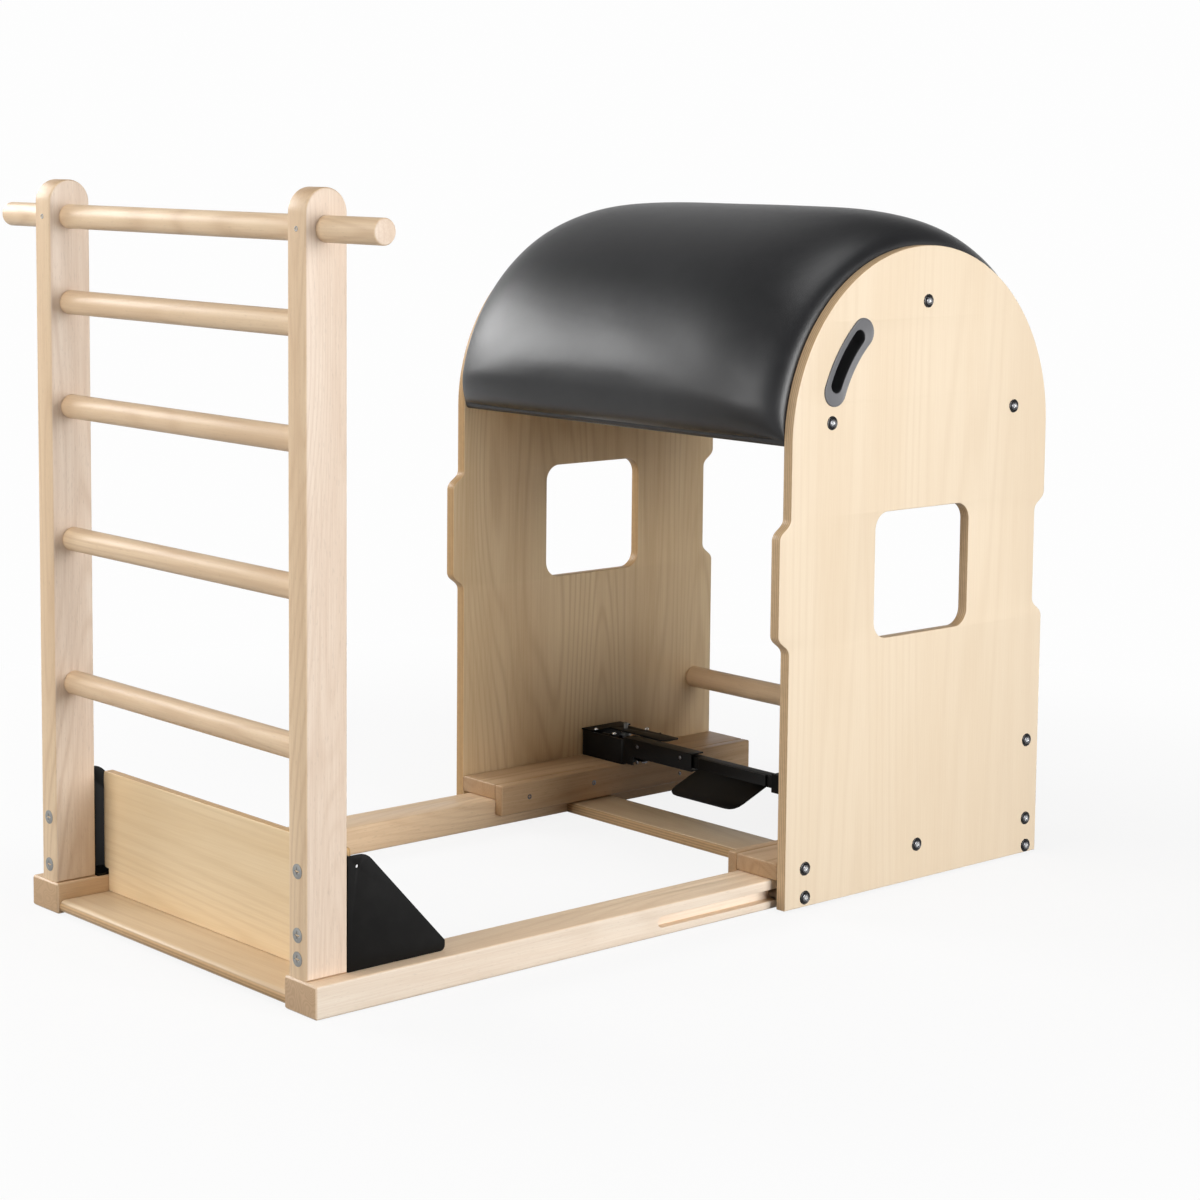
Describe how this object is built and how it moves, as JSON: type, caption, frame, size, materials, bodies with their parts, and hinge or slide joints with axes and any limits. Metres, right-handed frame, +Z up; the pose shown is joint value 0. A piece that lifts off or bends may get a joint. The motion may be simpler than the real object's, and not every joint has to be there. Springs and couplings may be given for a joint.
{
  "type": "pilates ladder barrel",
  "caption": "Wooden ladder standing on floor rails, with an arched leather-padded barrel that slides along them and locks by a foot pedal.",
  "frame": {"origin": "on the floor below the centre of the bounding box", "axes": "+X along the rails from the ladder to the barrel, +Y across to the side away from the picture's camera, +Z up"},
  "size_m": [1.4078, 0.893, 1.047],
  "materials": {
    "beech": "clear satin lacquer on solid wood",
    "ply": "clear satin lacquer on birch plywood, edges showing the plies",
    "leather": "grained charcoal upholstery leather over foam",
    "black_steel": "black satin powder coat",
    "bright_steel": "bright plated",
    "grey_plastic": "moulded grey",
    "nylon": "dark nylon"
  },
  "bodies": {
    "base": {"rail_near": "beech", "rail_far": "beech", "foot_plank": "ply", "cross_board": "ply", "kick_board": "ply", "upright_near": "beech", "upright_far": "beech", "top_rung": "beech", "rung_2": "beech", "rung_3": "beech", "rung_4": "beech", "rung_5": "beech", "gusset_near": "black_steel", "gusset_far": "black_steel", "upright_screw_near_1": "bright_steel", "upright_screw_near_2": "bright_steel", "upright_screw_near_3": "bright_steel", "upright_screw_far_1": "bright_steel", "upright_screw_far_2": "bright_steel"},
    "barrel": {"side_panel_near": "ply", "side_panel_far": "ply", "handle_insert_near": "grey_plastic", "handle_insert_far": "grey_plastic", "runner_block_near": "beech", "runner_block_far": "beech", "keeper_board_near": "ply", "keeper_board_far": "ply", "guide_tongue_near": "nylon", "guide_tongue_far": "nylon", "spreader_front": "ply", "spreader_top": "ply", "spreader_rear": "ply", "barrel_deck": "ply", "barrel_pad": "leather", "rear_rung": "beech", "latch_housing_near": "black_steel", "latch_housing_far": "black_steel", "latch_strap_near": "black_steel", "latch_strap_far": "black_steel", "pivot_bracket_near": "black_steel", "pivot_bracket_far": "black_steel", "pivot_bush_near": "nylon", "pivot_bush_far": "nylon", "pin_bush_near": "nylon", "pin_bush_far": "nylon", "lock_spring_near": "bright_steel", "lock_spring_far": "bright_steel"},
    "pedal": {"crossbar": "black_steel", "pedal_plate": "black_steel", "crank_arm_near": "black_steel", "crank_arm_far": "black_steel"},
    "lock_pin_near": {"lock_pin_near": "bright_steel"},
    "lock_pin_far": {"lock_pin_far": "bright_steel"}
  },
  "joints": [
    {"name": "barrel_slide", "type": "slide", "parent": "base", "child": "barrel", "axis": [-1, 0, 0], "range_m": [0, 0.225]},
    {"name": "pedal_hinge", "type": "hinge", "parent": "barrel", "child": "pedal", "pos_m": [0.3771, 0, 0.1015], "axis": [0, 1, 0], "range_deg": [0, 11]},
    {"name": "lock_pin_near_slide", "type": "slide", "parent": "barrel", "child": "lock_pin_near", "axis": [0, 0, -1], "range_m": [0, 0.0085], "deforming": ["lock_spring_near"]},
    {"name": "lock_pin_far_slide", "type": "slide", "parent": "barrel", "child": "lock_pin_far", "axis": [0, 0, -1], "range_m": [0, 0.0085], "deforming": ["lock_spring_far"]}
  ],
  "couplings": [
    {"joint": "lock_pin_near_slide", "follows": "pedal_hinge", "m_per_rad": 0.04115},
    {"joint": "lock_pin_far_slide", "follows": "pedal_hinge", "m_per_rad": 0.04115}
  ]
}
